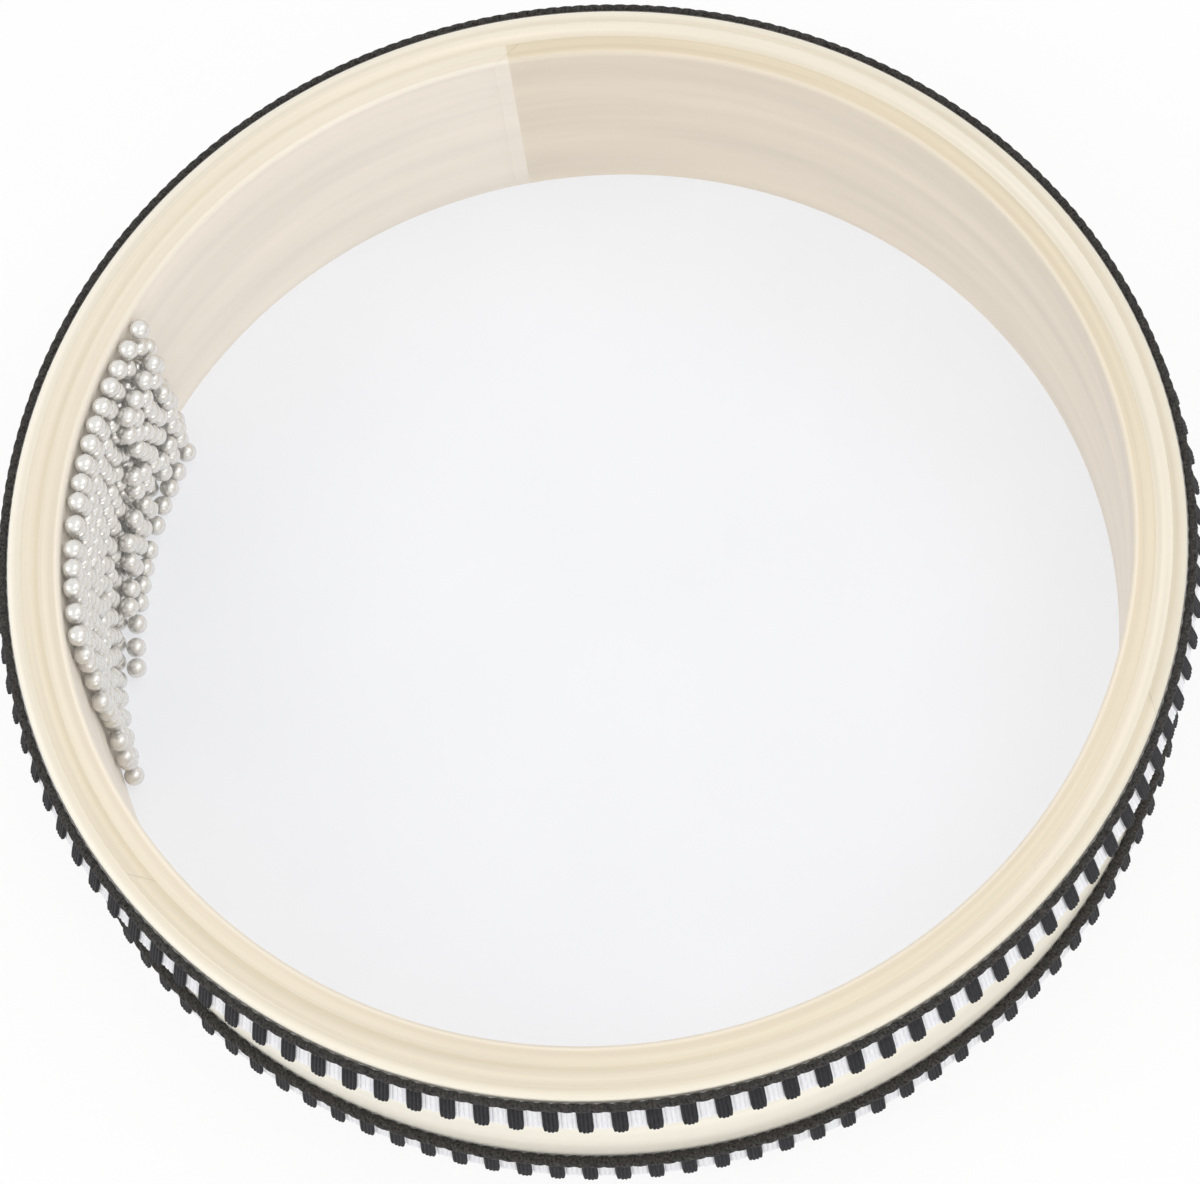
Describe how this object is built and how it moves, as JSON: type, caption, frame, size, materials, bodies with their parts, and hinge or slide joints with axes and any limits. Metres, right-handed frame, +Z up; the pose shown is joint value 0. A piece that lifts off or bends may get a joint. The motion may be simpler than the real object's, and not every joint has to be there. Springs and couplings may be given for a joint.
{
  "type": "ocean drum",
  "caption": "Round hand drum with a laminated wood hoop, a clear film head above a white one, braided trim round both edges and loose steel beads that roll inside to sound like surf.",
  "frame": {"origin": "centre of the lower head's underside, on the surface that the drum lies on", "axes": "+Z up along the drum's axis, towards the clear head; -X towards the pile of beads; +Y towards the inner ply's seam"},
  "size_m": [0.2567, 0.2568, 0.0575],
  "materials": {
    "hoop_wood": "pale laminated ply, sanded and left matt",
    "clear_film": "clear polyester film, glossy",
    "white_film": "milky white polyester film, satin",
    "black_yarn": "black twisted and woven yarn",
    "white_tape": "white woven tape",
    "bead_steel": "polished nickel-plated steel"
  },
  "bodies": {
    "drum": {"outer_ply": "hoop_wood", "middle_ply": "hoop_wood", "inner_ply": "hoop_wood", "upper_head": "clear_film", "lower_head": "white_film", "upper_braid_cord": "black_yarn", "upper_braid_tape": "white_tape", "upper_braid_bars": "black_yarn", "lower_braid_cord": "black_yarn", "lower_braid_tape": "white_tape", "lower_braid_bars": "black_yarn"},
    "bead_lane_01": {"bead_lane_01": "bead_steel"},
    "bead_lane_02": {"bead_lane_02": "bead_steel"},
    "bead_lane_03": {"bead_lane_03": "bead_steel"},
    "bead_lane_04": {"bead_lane_04": "bead_steel"},
    "bead_lane_05": {"bead_lane_05": "bead_steel"},
    "bead_lane_06": {"bead_lane_06": "bead_steel"},
    "bead_lane_07": {"bead_lane_07": "bead_steel"},
    "bead_lane_08": {"bead_lane_08": "bead_steel"},
    "bead_lane_09": {"bead_lane_09": "bead_steel"},
    "bead_lane_10": {"bead_lane_10": "bead_steel"},
    "bead_lane_11": {"bead_lane_11": "bead_steel"},
    "bead_lane_12": {"bead_lane_12": "bead_steel"}
  },
  "joints": [
    {"name": "lane_01_roll", "type": "hinge", "parent": "drum", "child": "bead_lane_01", "pos_m": [0, 0, 0], "axis": [0, 0, 1], "continuous": true},
    {"name": "lane_02_roll", "type": "hinge", "parent": "drum", "child": "bead_lane_02", "pos_m": [0, 0, 0], "axis": [0, 0, 1], "continuous": true},
    {"name": "lane_03_roll", "type": "hinge", "parent": "drum", "child": "bead_lane_03", "pos_m": [0, 0, 0], "axis": [0, 0, 1], "continuous": true},
    {"name": "lane_04_roll", "type": "hinge", "parent": "drum", "child": "bead_lane_04", "pos_m": [0, 0, 0], "axis": [0, 0, 1], "continuous": true},
    {"name": "lane_05_roll", "type": "hinge", "parent": "drum", "child": "bead_lane_05", "pos_m": [0, 0, 0], "axis": [0, 0, 1], "continuous": true},
    {"name": "lane_06_roll", "type": "hinge", "parent": "drum", "child": "bead_lane_06", "pos_m": [0, 0, 0], "axis": [0, 0, 1], "continuous": true},
    {"name": "lane_07_roll", "type": "hinge", "parent": "drum", "child": "bead_lane_07", "pos_m": [0, 0, 0], "axis": [0, 0, 1], "continuous": true},
    {"name": "lane_08_roll", "type": "hinge", "parent": "drum", "child": "bead_lane_08", "pos_m": [0, 0, 0], "axis": [0, 0, 1], "continuous": true},
    {"name": "lane_09_roll", "type": "hinge", "parent": "drum", "child": "bead_lane_09", "pos_m": [0, 0, 0], "axis": [0, 0, 1], "continuous": true},
    {"name": "lane_10_roll", "type": "hinge", "parent": "drum", "child": "bead_lane_10", "pos_m": [0, 0, 0], "axis": [0, 0, 1], "continuous": true},
    {"name": "lane_11_roll", "type": "hinge", "parent": "drum", "child": "bead_lane_11", "pos_m": [0, 0, 0], "axis": [0, 0, 1], "continuous": true},
    {"name": "lane_12_roll", "type": "hinge", "parent": "drum", "child": "bead_lane_12", "pos_m": [0, 0, 0], "axis": [0, 0, 1], "continuous": true}
  ]
}
